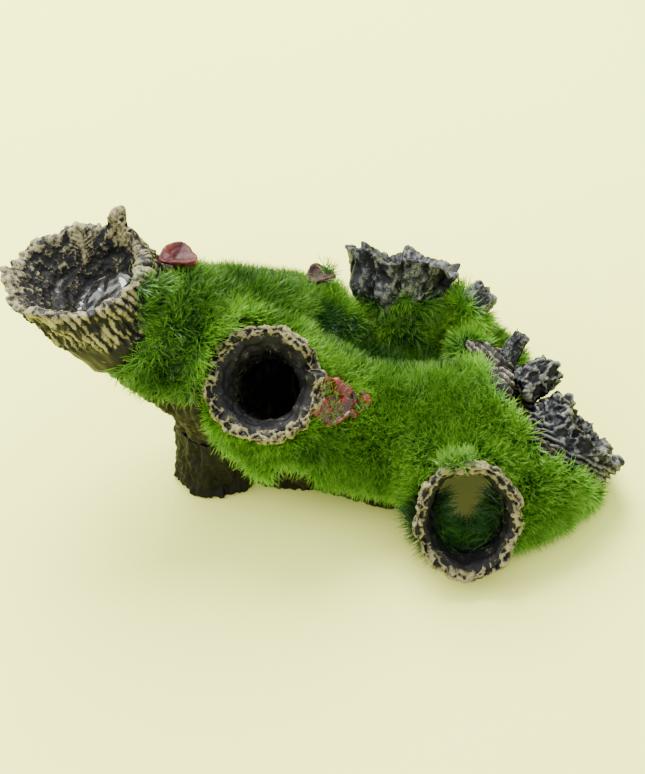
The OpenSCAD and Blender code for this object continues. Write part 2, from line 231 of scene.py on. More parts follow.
def carve_mouth(points, normals):
    """Flutes and petals outside, scratches and a leaf inside, a lobed rim and a wet floor."""
    t, angle, axis, outward, out = around("left_log_mouth", points, normals)
    outside, rim = rise(out, -0.15, 0.35), rise(t, 0.72, 1.0)
    finger = rise(t, 1.2, 1.5)
    left = bump_at(angle, PETALS_AT, 0.7)
    crest = strips(angle, t, points, FLUTES, 0.3, 1) * (1 - left)
    crest += left * strips(angle, t, points, PETALS, 0.9, 8)
    chips, flecks = field(points, 2.2, 2, 3), streaks(angle, t, 14, 4, 4)
    crest *= 0.55 + 0.45 * rise(streaks(angle, t, 5, 2.5, 10), -0.7, 0.2)
    scratch = rise(1 - 4 * np.abs(streaks(angle, t, 5, 4, 9)), 0, 1)
    wall = outside * rise(t, -0.2, 0.1) * rise(1.15 - t, 0, 0.2)
    lobes = 0.5 + 0.5 * streaks(angle, 0 * t, 3.2, 0, 3)
    vein = leaf(angle, t, LEAF_AT, 5) * (1 - outside) * rise(t, 0.2, 0.35)
    floor = rise((normals * axis).sum(1), 0.6, 0.9) * rise(0.62 - t, 0, 0.12)
    depth = wall * ((1.2 + 0.6 * left) * crest - 0.8 - 0.2 * left + 0.4 * chips)
    depth += (1 - outside) * (1 - floor) * (0.3 * chips + 0.3 * scratch + 0.6 * vein)
    glaze = 0.5 * field(points, 5, 6) + 0.15 * (points[:, 1] - 2)
    depth += (1 - floor) * 0.5 * field(points, 8, 5) + floor * glaze + 1.3 * finger
    pits = rise(0.4 - cells(points, 1.6, 7)[0], 0, 0.15) * rise(t, 1.0, 1.25)
    move = normals * (depth - 0.6 * pits)[:, None]
    move += (axis * 2.2 + outward * 1.2) * (rim * (1 - finger) * (lobes - 0.5))[:, None]
    # The outside wall is made darker round the back right
    brushed = 0.95 * crest - 0.26 + 0.34 * flecks - 0.3 * bump_at(angle, DARKER_AT, 0.5)
    light = wall * brushed + rim * (0.26 + 0.15 * chips) + 0.2 * finger
    light += (1 - outside) * (0.24 + 0.16 * chips + 0.3 * scratch + 0.4 * vein)
    return move, light * (1 - floor) + 0.3 * floor - 0.6 * pits, floor


low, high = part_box("left_log_mouth")
print(f"{FLUTES} flutes round a mouth {(high[0] - low[0]) / MM:.0f} mm wide")

# %% [markdown]
# ### The knot holes
# Where a branch has rotted out, the bark heals round the hole as a rolled callus full of
# angular pits. The funnel inside is smooth and dark. The rim isn't even: teeth stand up
# and notches cut in at set angles, each with its height in mm and its width in radians.
# %% Carving of the knots


def carve_knot(name, teeth):
    """A callus of pitted bark round a smooth funnel, with (angle, height, width) teeth."""

    def carve(points, normals):
        t, angle, axis, outward, out = around(name, points, normals)
        outside = rise(out, -0.1, 0.4)
        rim = rise(t, 0.68, 0.86)
        skin = np.maximum(rim, outside * rise(t, -0.1, 0.2))
        chips = field(points, 2.5, 11, 3)
        edges = np.maximum(web(points, 2.7, 12) * rim, web(points, 3.4, 13) * skin * (1 - rim))
        folds = strips(angle, t, points, 20, 0.15, 14)
        grain = streaks(angle, t, 4, 5, 15)
        depth = skin * (1.1 * edges - 0.75 + 0.3 * chips + 0.5 * folds * outside)
        depth += (1 - skin) * 0.3 * grain + 0.4 * field(points, 5, 16)
        tooth = sum(h * bump_at(angle, a, w) for a, h, w in teeth) * rise(t, 0.4, 0.9)
        lift = tooth + 0.6 * field(points, 3.5, 17) * rise(t, 0.4, 0.9)
        move = normals * depth[:, None] + axis * lift[:, None]
        move += outward * (0.5 * tooth + 0.9 * rim * (1 - outside))[:, None]
        light = skin * (0.21 + 0.47 * edges + 0.15 * chips) + (1 - skin) * (0.2 + 0.2 * grain)
        return move, light, 0.7 * (1 - skin) * rise(0.3 - t, 0, 0.4)

    return carve


# %% [markdown]
# ### Stump, stubs and log end
# Wood that snaps across the grain ends in plates of different heights, with splinters
# between them. A rotten end falls apart in angular cells. One carving makes all five
# pieces. Its numbers say how many plates, how thick, and what else grows on them.
# %% Broken right side, and carving of broken wood


def broken_edge(points):
    """How far a place on the log's broken right side lies past the flock's edge, in mm."""
    x, up = points[:, 0], points[:, 1] + points[:, 2]
    past = np.where(up > 23, x + 0.373 * up - 59.5, x + 0.552 * up - 63.6)
    past = np.minimum(past, 1.2 * (up + 3.5 + 0.424 * (x - 68.7)))
    return np.minimum(past, 14 - points[:, 1]) + 0.8 * field(points, 3, 35)


def carve_plates(name, count, thick, seed, cell=0.0, base=0.3, bulges=(), teeth=0.0, tilt=0.0):
    """Broken wood: plates of different heights along the grain, with bulges and hollows at
    given (angle, height, width, share of the way up)."""

    def carve(points, normals):
        t, angle, axis, outward, out = around(name, points, normals)
        outside = rise(out, -0.3, 0.3)
        turn = angle * count / (2 * math.pi) + 0.3 * field(points, 7, seed)
        plate = np.floor(turn)
        groove = rise(np.abs(turn - plate - 0.5) * 2, 0.8, 1.0)
        step = np.array([noise.cell(Vector((p, seed, 0.5))) for p in plate])
        flecks = streaks(angle, t, 12, 9, seed + 1)
        rough = field(points, 4.5, seed + 2, 3)
        depth = outside * thick * (0.35 * step - 0.5 * groove) + 0.3 * flecks + 0.35 * rough
        light = base + 0.12 * step - 0.35 * groove * outside + 0.28 * flecks + 0.15 * rough
        if cell:
            edge = web(points, cell, seed + 3)
            depth += 0.8 * edge - 0.4
            light += 0.68 * edge - 0.25
        if teeth:
            along = points[:, 1] + points[:, 2] + 0.57 * points[:, 0]
            tooth = np.abs(np.sin(1.3 * along + 0.6 * field(points, 4, seed + 4)))
            share = rise(teeth - broken_edge(points), -2, 2)
            depth += share * (1.4 * tooth - 0.7)
            light += share * (0.75 * tooth - 0.05 - light)
        for middle, height, width, up in bulges:
            bulge = bump_at(angle, middle, width) * np.exp(-(((t - up) / 0.3) ** 2)) * outside
            depth += height * bulge
            light += 0.05 * height * bulge
        lift = ((step - 0.5) * thick + tilt * np.cos(angle)) * rise(t, 0.5, 1.0)
        return normals * depth[:, None] + axis * lift[:, None], light, 0.2 + 0 * t

    return carve


end = np.array([AXES["right_log_end"][2]])
print("The log end's middle is", round(broken_edge(end)[0], 1), "mm past the flock's edge")

# %% [markdown]
# ### Trunk and root foot
# Old bark has upright furrows, worn nearly smooth where the log lies on the ground. Its
# foot spreads a little, like roots. Where the trunk broke off on the right, strips of bare
# wood show. Both pieces take the same carving, so that the furrows run on over their joint.
# %% Carving of the bark


def carve_bark(points, normals):
    """The trunk and its foot: worn bark with upright furrows, and strips on its broken edge."""
    furrow = 1 - np.abs(field(points * (1, 1, 0.3), 4.5, 31, 3))
    chips = field(points, 2.2, 32, 3)
    toe = rise(5 - points[:, 2], 0, 5) * rise(normals[:, 2] + 0.5, 0, 0.4)
    edge = rise(broken_edge(points), -1, 0.6)
    up = points[:, 1] + points[:, 2]
    across = up + (0.57 + 0.7 * rise(up, 12, 35)) * (points[:, 0] - 58)
    strip = np.abs(np.sin(1.2 * across + 0.6 * field(points, 6, 33)))
    depth = (1 - edge) * (1.4 * furrow - 0.9 + 0.35 * chips) + edge * (1.5 * strip - 0.5 + 0.2 * chips)
    depth += toe * (0.8 + 0.9 * field(points, 7, 34))
    light = (1 - edge) * (0.12 * furrow + 0.12 * chips) + edge * (strip * 0.85 - 0.1 + 0.35 * chips)
    return normals * depth[:, None], light, 0.1 + 0 * depth


# %% [markdown]
# ### Bracket fungi
# A bracket fungus is a shelf with soft waves and fine wrinkles. The red one is lacquered
# and shines, and the brown ones are duller. Amounts are in mm.
# %% Carving of the fungi


def carve_cap(seed, amount, gloss):
    """A bracket fungus: a wavy shelf with fine wrinkles under its lacquer."""

    def carve(points, normals):
        waves = field(points, 4.5, seed)
        folds = field(points, 1.6, seed + 1, 3)
        depth = amount * waves + 0.25 * amount * folds
        return normals * depth[:, None], 0.5 + 0.3 * waves + 0.3 * folds, gloss + 0 * waves

    return carve


# %% [markdown]
# ### Even meshes for carving
# A CAD node has few and uneven triangles, which can't take relief. A voxel remesh gives a
# closed mesh of even little faces, and smoothing takes the steps out of it. The voxel is
# 0.25 to 0.85 mm, well under the 1.6 to 5 mm of the wrinkles, pits, chips and furrows.
# %% From CAD node to carved piece


def even_copy(name, voxel, smooth):
    """A closed and evenly meshed copy of a CAD node. Its place is in the mesh."""
    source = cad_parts[name]
    mesh = source.data.copy()
    mesh.transform(source.matrix_world)
    piece = bpy.data.objects.new(name + "_carved", mesh)
    bpy.context.collection.objects.link(piece)
    remesh = piece.modifiers.new("even", "REMESH")
    remesh.mode = "VOXEL"
    remesh.voxel_size = voxel * MM
    soft = piece.modifiers.new("soft", "SMOOTH")
    soft.factor, soft.iterations = 0.5, smooth
    fine = bpy.data.meshes.new_from_object(piece.evaluated_get(bpy.context.evaluated_depsgraph_get()))
    piece.modifiers.clear()
    piece.data = fine
    fine.materials.clear()
    fine.polygons.foreach_set("use_smooth", [True] * len(fine.polygons))
    return piece


def read_points(mesh):
    """Places in mm and normals of a mesh's vertices."""
    places, normals = np.empty(len(mesh.vertices) * 3), np.empty(len(mesh.vertices) * 3)
    mesh.vertices.foreach_get("co", places)
    mesh.vertices.foreach_get("normal", normals)
    return places.reshape(-1, 3) / MM, normals.reshape(-1, 3)


def keep(mesh, name, values):
    """Stores one number per vertex, for a shader or a node tree to read."""
    mesh.attributes.new(name, "FLOAT", "POINT").data.foreach_set("value", np.asarray(values, np.float32))


def carve(piece, carving):
    """Moves a piece's points as its carving says, and keeps its paint and varnish."""
    mesh = piece.data
    points, normals = read_points(mesh)
    move, light, wet = carving(points, normals)
    moved = points + move
    moved[:, 2] = np.maximum(moved[:, 2], np.minimum(points[:, 2], 0.02))
    mesh.vertices.foreach_set("co", (moved * MM).ravel())
    keep(mesh, "light", light)
    keep(mesh, "wet", wet)
    mesh.update()


print("Each carved piece keeps two numbers a point for its paint: light and wet")

# %% The thirteen castings

# Each casting's voxel in mm, its passes of smoothing and its carving
CARVINGS = {
    "trunk_shell": (0.85, 6, carve_bark),
    "root_foot": (0.55, 6, carve_bark),
    "left_log_mouth": (0.4, 5, carve_mouth),
    "centre_knot": (
        0.35, 5,
        carve_knot("centre_knot", [(0.22, 2.8, 0.14), (0.52, -3.4, 0.16), (4.4, 0.8, 0.5)]),
    ),
    "front_knot": (0.35, 5, carve_knot("front_knot", [(4.7, 1.6, 0.6), (3.3, 1.5, 0.2), (1.4, -1.5, 0.5)])),
    "rear_stump": (
        0.4, 5,
        carve_plates(
            "rear_stump", 12, 1.2, 41, base=0.36, tilt=2.0,
            bulges=[(0.7, 3.6, 0.26, 0.62), (1.35, 3.4, 0.22, 0.58), (2.6, -2.5, 0.12, 0.85)],
        ),
    ),
    "right_log_end": (0.4, 5, carve_plates("right_log_end", 14, 0.9, 45, cell=4.8, base=0.14, teeth=8.0)),
    "rear_side_branch": (0.35, 4, carve_plates("rear_side_branch", 7, 0.5, 51, base=0.5)),
    "side_stub_upper": (0.3, 4, carve_plates("side_stub_upper", 6, 0.7, 55, base=0.4)),
    "side_stub_lower": (0.35, 4, carve_plates("side_stub_lower", 7, 0.7, 58, cell=4.0, base=0.2)),
    "centre_bracket_fungus": (0.25, 3, carve_cap(61, 0.7, 0.65)),
    "mouth_bracket_fungus": (0.25, 3, carve_cap(64, 0.4, 0.4)),
    "rear_bracket_fungus": (0.25, 3, carve_cap(67, 0.4, 0.2)),
}
# The castings that the flock laps onto are also kept smooth, as its ground
PLANTED = (
    "trunk_shell", "left_log_mouth", "front_knot", "rear_stump", "rear_side_branch", "rear_bracket_fungus",
)
shaped, grounds = {}, {}
for name, (voxel, smooth, carving) in CARVINGS.items():
    piece = even_copy(name, voxel, smooth)
    if name in PLANTED:
        grounds[name] = piece.data.copy()
    carve(piece, carving)
    shaped[name] = piece
    print(f"{name}: {len(piece.data.polygons)} faces after carving")

# %% [markdown]
# ## Paint
# The makers dip or spray the casting charcoal and then drag a nearly dry brush of cream
# or grey over it. The light paint stays on the crests and breaks up in the pores. The
# carving says where the crests are, and fine noise breaks the edge of the paint. Stone
# powder is finer than 0.1 mm in truth, and is drawn at 0.4 mm so that it shows.
# %% Drybrushed resin
PORE, POWDER = 1.0, 0.4


def drybrushed(name, *stops, gleam=0.2):
    """Charcoal resin with a broken coat of lighter paint on its crests. It's nearly matt, and
    where the carving says that it looks wet, a clear glaze gives it sharp highlights."""
    material, tree, surface = shader(name, Specular_IOR_Level=gleam, Coat_Roughness=0.15)
    place = add(tree, "ShaderNodeTexCoord").outputs["Object"]
    light = add(tree, "ShaderNodeAttribute", attribute_name="light").outputs["Fac"]
    wet = add(tree, "ShaderNodeAttribute", attribute_name="wet").outputs["Fac"]
    for size, weight in ((PORE, 0.65), (POWDER, 0.9)):
        grain = add(
            tree, "ShaderNodeTexNoise",
            {"Vector": place, "Scale": 1 / (size * MM), "Detail": 3.0, "Roughness": 0.6, "Distortion": 0.6},
        )
        offset = add(tree, "ShaderNodeMath", {0: grain.outputs["Fac"], 1: 0.5}, operation="SUBTRACT")
        light = add(
            tree, "ShaderNodeMath", {0: offset.outputs[0], 1: weight, 2: light}, operation="MULTIPLY_ADD"
        ).outputs[0]
    coats = add(tree, "ShaderNodeValToRGB", {"Fac": light}, stops)
    tree.links.new(coats.outputs["Color"], surface.inputs["Base Color"])
    polish = add(tree, "ShaderNodeMapRange", {"Value": wet, "To Min": 0.6, "To Max": 0.2})
    tree.links.new(polish.outputs[0], surface.inputs["Roughness"])
    glaze = add(tree, "ShaderNodeMapRange", {"Value": wet, "From Min": 0.5})
    tree.links.new(glaze.outputs[0], surface.inputs["Coat Weight"])
    dull = add(tree, "ShaderNodeMapRange", {"Value": wet, "To Min": 0.45, "To Max": 0.05}).outputs[0]
    bump = add(
        tree, "ShaderNodeBump", {"Height": grain.outputs["Fac"], "Strength": dull, "Distance": 0.15 * MM}
    )
    tree.links.new(bump.outputs[0], surface.inputs["Normal"])
    return material


print(f"Pores of {PORE} mm and powder of {POWDER} mm break the edge of every paint")

# %% The resin paints

# Cast resin dipped charcoal and drybrushed cream: warm light ridges round nearly black pits
CREAM = drybrushed(
    "resin_charcoal_with_cream",
    (0.0, "0a0a0b"), (0.38, "151516"), (0.46, "3d3a28"), (0.56, "6c6647"), (1.0, "918a64"),
)
# The same resin drybrushed grey: cool weathered wood, a little warm on the sharpest edges
GREY = drybrushed(
    "resin_charcoal_with_grey",
    (0.0, "08090a"), (0.36, "131517"), (0.48, "2e3132"), (0.62, "525550"), (1.0, "827f66"),
)
# Resin sprayed brown black and hardly brushed: dull wet bark that makes the moss look bright
BARK = drybrushed(
    "resin_brown_black_bark",
    (0.0, "040403"), (0.35, "0e0c09"), (0.55, "211d16"), (0.75, "524f40"), (1.0, "8d8a76"), gleam=0.15,
)
# Resin under red lacquer: deep blood red with sharp highlights, the log's strongest colour
RED = drybrushed(
    "resin_red_lacquer",
    (0.0, "240305"), (0.4, "4a0709"), (0.6, "620b0d"), (0.85, "7a1a17"), (1.0, "903c30"), gleam=0.4,
)
# Satin brown on the cap behind the mouth, and a greyer umber on the small one on the ridge
BROWN = drybrushed(
    "resin_brown_fungus", (0.0, "1c0706"), (0.4, "3c0f0e"), (0.7, "4d1e17"), (1.0, "643527"), gleam=0.15
)
UMBER = drybrushed("resin_umber_fungus", (0.0, "120a06"), (0.4, "2a160f"), (0.7, "3c2418"), (1.0, "5a4430"))

print("Paints:", ", ".join(paint.name for paint in (CREAM, GREY, BARK, RED, BROWN, UMBER)))

# %% Paint on the castings

# Each casting's paint, and the slot of the record that names its finish, which isn't used here
PAINTS = {
    "trunk_shell": (BARK, "bark_dark_resin"),
    "root_foot": (BARK, "bark_dark_resin"),
    "left_log_mouth": (CREAM, "bark_cream_resin"),
    "centre_knot": (CREAM, "bark_cream_resin"),
    "front_knot": (CREAM, "bark_cream_resin"),
    "rear_stump": (GREY, "bark_grey_resin"),
    "right_log_end": (GREY, "bark_grey_resin"),
    "rear_side_branch": (GREY, "bark_grey_resin"),
    "side_stub_upper": (GREY, "bark_grey_resin"),
    "side_stub_lower": (GREY, "bark_grey_resin"),
    "centre_bracket_fungus": (RED, "fungus_red_resin"),
    "mouth_bracket_fungus": (BROWN, "fungus_brown_resin"),
    "rear_bracket_fungus": (UMBER, "fungus_brown_resin"),
}
for name, (paint, slot) in PAINTS.items():
    shaped[name].data.materials.append(paint)
    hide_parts(name)
    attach(shaped[name], "root")
print(f"{len(PAINTS)} castings painted")

# %% [markdown]
# ## Adhesive
# Clear epoxy that has yellowed a little fills the gap round each spigot and sleeve. It
# hardly shows, so the CAD nodes themselves carry it.
# %% Adhesive on the CAD nodes
GLUE, tree, surface = shader("epoxy_adhesive", Roughness=0.25, Coat_Weight=0.3)
place = add(tree, "ShaderNodeTexCoord").outputs["Object"]
blush = add(tree, "ShaderNodeTexNoise", {"Vector": place, "Scale": 1 / (3 * MM), "Detail": 2.0})
tint = add(tree, "ShaderNodeValToRGB", {"Fac": blush.outputs["Fac"]}, ((0.3, "b5ab84"), (0.7, "cfc8a6")))
tree.links.new(tint.outputs["Color"], surface.inputs["Base Color"])
for name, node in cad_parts.items():
    if name.startswith("glue_"):
        node.data.materials.clear()
        node.data.materials.append(GLUE)
        print(name, "keeps its CAD mesh, in", GLUE.name)

# %% [markdown]
# ## Flock
# The moss is static grass: nylon fibres 3 to 4 mm long that an electric field stands up
# in wet adhesive. They lean together in tufts where the coat was thick. The ground is the
# resin under the CAD moss nodes, and where the coat ran over their edges: the foot of the
# stump, the side branch, the mouth's shoulder, the front knot's lip and the rear cap.
# %% Moss nodes and the castings that stand in them
MOSS = sorted(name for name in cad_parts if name.startswith("moss_"))
trees = {}
for name in MOSS:
    trees[name] = surface_of(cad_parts[name].data)
# How far a bare place between two moss nodes may be from one, and still be planted
SPREAD = 12 * MM


def nearest_moss(place, choices, reach):
    """The moss node whose surface is nearest to a place, if one is within reach."""
    found = [(trees[name].find_nearest(place, reach)[3], name) for name in choices]
    found = [pair for pair in found if pair[0] is not None]
    return min(found)[1] if found else None


BURIED = [
    surface_of(node.data)
    for name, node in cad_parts.items()
    if name in CARVINGS and name not in ("trunk_shell", "root_foot")
]


def buried(place):
    """Whether a place is inside one of the castings that stand on the trunk."""
    for tree in BURIED:
        spot, normal = tree.find_nearest(place, 8 * MM)[:2]
        if spot is not None and (place - spot).dot(normal) < 0:
            return True
    return False


def centres(source):
    """Middles of a mesh's faces, in mm."""
    return np.array([face.center for face in source.polygons]) / MM


print(len(MOSS), "areas of moss round", len(BURIED), "castings")

# %% [markdown]
# ### Where the trunk is planted
# The flock stops in a ragged hem along the front and at the broken right side, and it
# keeps clear of the knots. Inside those edges every face under a moss node is planted,
# and every other face that sees the sky, so no bald spot is left between two nodes.
# %% Ground on the trunk

# The flock's lower edge along the front: place along the log, then height plus depth, in mm
HEM = np.array([
    (-90, 62), (-60, 38), (-54, 33), (-47, 25), (-33.5, 24), (-30, 16.5), (-27.5, 7), (-20, -1), (-18, -6),
    (-15.5, -7.5), (-10, -1), (-4, -3), (0, -10), (12.4, -12), (20, -14), (28, -18), (34, -40), (90, -60),
])


# The radius round each knot's axis that stays free of flock, in mm
KNOT_CLEAR = 13.5


def bare_resin(points):
    """Where the trunk stays bare: under the hem, past the broken edge and behind the mouth."""
    up = points[:, 1] + points[:, 2] + 0.8 * field(points, 3, 74)
    bare = (up < np.interp(points[:, 0], *HEM.T)) | (broken_edge(points) > 0)
    bare |= (points[:, 0] < -40) & (up > 70)
    for name in ("centre_knot", "front_knot"):
        foot, way = np.array(AXES[name][0]), unit(np.array(AXES[name][1]))
        arm = points - foot
        arm = arm - (arm @ way)[:, None] * way
        bare |= (np.linalg.norm(arm, axis=1) < KNOT_CLEAR) & ((points - foot) @ way > -30)
    return bare


def on_trunk(source):
    """The trunk's covered faces, and every other one that looks up at the sky."""
    choices = [n for n in MOSS if n not in ("moss_branch_tuft", "moss_front_knot_floor")]
    skin = surface_of(source)
    covered = {name: [] for name in choices}
    bare = bare_resin(centres(source))
    for face in source.polygons:
        if bare[face.index]:
            continue
        centre, normal = face.center, face.normal
        name = nearest_moss(centre, choices, 0.8 * MM)
        if not name and normal.z > 0.1:
            start = centre + normal * 0.5 * MM
            if skin.ray_cast(start, Vector((0, 0, 1)))[0] is None and not buried(start):
                name = nearest_moss(centre, choices, SPREAD)
        if name:
            covered[name].append(face.index)
    return covered


print("The hem runs over", len(HEM), "points")

# %% Ground on the other castings


def inner(face):
    """Whether a face of the mouth looks into its cup."""
    foot, axis = Vector(AXES["left_log_mouth"][0]) * MM, Vector(CUP).normalized()
    arm = face.center - foot
    arm -= axis * arm.dot(axis)
    return face.normal.dot(arm.normalized()) < 0.1 and face.center.z / MM > 62


def on_mouth(source):
    """The right-hand shoulder of the mouth casting, which the flock of the arm laps over."""
    places = centres(source)
    past = places[:, 0] + 49.5 - 2.5 * field(places, 5, 72)
    lap = (past > 0) & (places[:, 2] > 40) & ~bare_resin(places)
    return {"moss_left_arm": [p.index for p in source.polygons if lap[p.index] and not inner(p)]}


def on_stump(source):
    """The foot of the stump, which the flock of the ridge climbs."""
    places = centres(source)
    low = places[:, 1] + places[:, 2] < 65 + 1.5 * field(places, 5, 75)
    return {"moss_rear_ridge": [p.index for p in source.polygons if low[p.index] and p.center.z > 30 * MM]}


def on_branch(source):
    """The lower part of the side branch, wrapped in its own tuft."""
    foot, way = np.array(AXES["rear_side_branch"][0]), unit(np.array(AXES["rear_side_branch"][1]))
    places = centres(source)
    low = (places - foot) @ way < 6 + field(places, 4, 76)
    return {"moss_branch_tuft": [p.index for p in source.polygons if low[p.index] and p.center.z > 28 * MM]}


def on_front_knot(source):
    """The knot's throat, and the top of its collar, which the flock of the slope laps over."""
    throat = [p.index for p in source.polygons if nearest_moss(p.center, ["moss_front_knot_floor"], 4.0 * MM)]
    taken = set(throat)
    collar = [
        p.index
        for p in source.polygons
        if p.normal.z > 0.3 and p.index not in taken and abs(p.center.x / MM - 38) < 5
        and p.center.z > 27 * MM and p.center.y > -41 * MM
    ]
    return {"moss_front_knot_floor": throat, "moss_right_slope": collar}


def on_rear_cap(source):
    """The back half of the cap on the ridge, where fibres stuck to it."""
    start = centres(source).mean(0)[0] + 0.5
    back = [p.index for p in source.polygons if p.normal.z > 0 and p.center.x / MM > start]
    return {"moss_rear_ridge": back}


GROUNDS = (
    ("trunk_shell", on_trunk),
    ("left_log_mouth", on_mouth),
    ("rear_stump", on_stump),
    ("rear_side_branch", on_branch),
    ("front_knot", on_front_knot),
    ("rear_bracket_fungus", on_rear_cap),
)
print("Castings with flock:", ", ".join(casting for casting, pick in GROUNDS))

# %% [markdown]
# ### Cover and edge light
# The coat of adhesive thins out at its edge, so fewer fibres stick there: that is cover.
# The fibres at the edge also stand in the light, so they are painted paler: that is the
# edge light, a painted highlight. Both come from how far a point is from bare resin.
# %% Beds of flock

# How far in from its edge the coat thins, and how far the painted light at its edge reaches, in mm
THIN, LIT_REACH = 1.6, 4


def distance_to_bare(source, faces):
    """How far each vertex of a mesh is from the nearest face outside faces, in mm."""
    inside = np.zeros(len(source.polygons), bool)
    inside[faces] = True
    bare = [p.center for p in source.polygons if not inside[p.index]]
    finder = KDTree(len(bare))
    for i, centre in enumerate(bare):
        finder.insert(centre, i)
    finder.balance()
    return np.array([finder.find(v.co)[2] for v in source.vertices]) / MM


beds = {}
for casting, pick in GROUNDS:
    source = grounds[casting]
    covered = pick(source)
    inset = distance_to_bare(source, [i for faces in covered.values() for i in faces])
    points = read_points(source)[0]
    cover = rise(inset + 1.2 * field(points, 4, 71), 0.0, THIN)
    # Painted light: fibres near the coat's edge are marked paler, fully on the trunk and 0.35 of that
    # elsewhere
    brink = np.exp(-((inset / LIT_REACH) ** 2)) * (1.0 if casting == "trunk_shell" else 0.35)
    for name, faces in covered.items():
        used = sorted({v for i in faces for v in source.polygons[i].vertices})
        number = {v: i for i, v in enumerate(used)}
        places, rows, shares, brink_lights = beds.setdefault(name, ([], [], [], []))
        start = len(places)
        places += [source.vertices[v].co.copy() for v in used]
        rows += [[start + number[v] for v in source.polygons[i].vertices] for i in faces]
        shares += list(cover[used])
        brink_lights += list(brink[used])
for name, (places, rows, shares, brink_lights) in beds.items():
    bed = bpy.data.meshes.new(name + "_bed")
    bed.from_pydata(places, [], rows)
    keep(bed, "cover", shares)
    keep(bed, "brink", brink_lights)
    beds[name] = bed
    print(f"{name}: {len(rows)} faces of ground")

# %% [markdown]
# ### Fibres
# Real fibres are straight and under 0.1 mm thick, and they bend under each other. Each one
# here is a spindle of six faces, and five bends are mixed. It's 0.2 mm thick, so that it
# shows and fewer are needed, and mostly 3 to 6 mm long, because it starts on the resin
# and leans over before it comes out of the coat.
# %% One fibre


def spindle(bend, twist):
    """One fibre of unit length and width, bent sideways: a root, a ring of three and a tip."""
    ring = [(math.cos(twist + a) + bend, math.sin(twist + a), 0.5) for a in (0, 2.09, 4.19)]
    mesh = bpy.data.meshes.new("fibre")
    mesh.from_pydata(
        [(0, 0, 0), *ring, (bend * 3.2, 0, 1)], [],
        [(0, 2, 1), (0, 3, 2), (0, 1, 3), (1, 2, 4), (2, 3, 4), (3, 1, 4)],
    )
    keep(mesh, "height", [0, 0.5, 0.5, 0.5, 1])
    return bpy.data.objects.new("fibre", mesh)


FIBRES = bpy.data.collections.new("fibres")
for bend, twist in ((0.0, 0.0), (1.5, 0.7), (3.0, 1.3), (4.5, 0.2), (2.2, 2.0)):
    FIBRES.objects.link(spindle(bend, twist))

# %% Nylon


def nylon():
    """Green nylon, dark at the roots and pale at the tips: painted shadow down among the
    fibres and a painted highlight on the tips, so crests look lit and hollows stay dark green."""
    material, tree, surface = shader("nylon_flock", Roughness=0.4, Specular_IOR_Level=0.5)
    height = add(tree, "ShaderNodeAttribute", attribute_name="height").outputs["Fac"]
    shade = add(tree, "ShaderNodeAttribute", attribute_name="shade").outputs["Fac"]
    # Both ramps run from near black at the root to their palest at the tip: painted shadow among the fibres
    # and a painted highlight on the tips. The mix between them is painted light and shadow as well as the
    # flock's own tone.
    dark_and_shadowed, pale_and_lit = (
        add(tree, "ShaderNodeValToRGB", {"Fac": height}, stops).outputs["Color"]
        for stops in (
            ((0.0, "030801"), (0.5, "0c2b06"), (1.0, "1f580e")),
            ((0.0, "081603"), (0.5, "3c8013"), (1.0, "a6de3e")),
        )
    )
    mix = add(tree, "ShaderNodeMix", {0: shade, 6: dark_and_shadowed, 7: pale_and_lit}, data_type="RGBA")
    tree.links.new(mix.outputs[2], surface.inputs["Base Color"])
    return material


NYLON = nylon()
print("The moss is", NYLON.name)
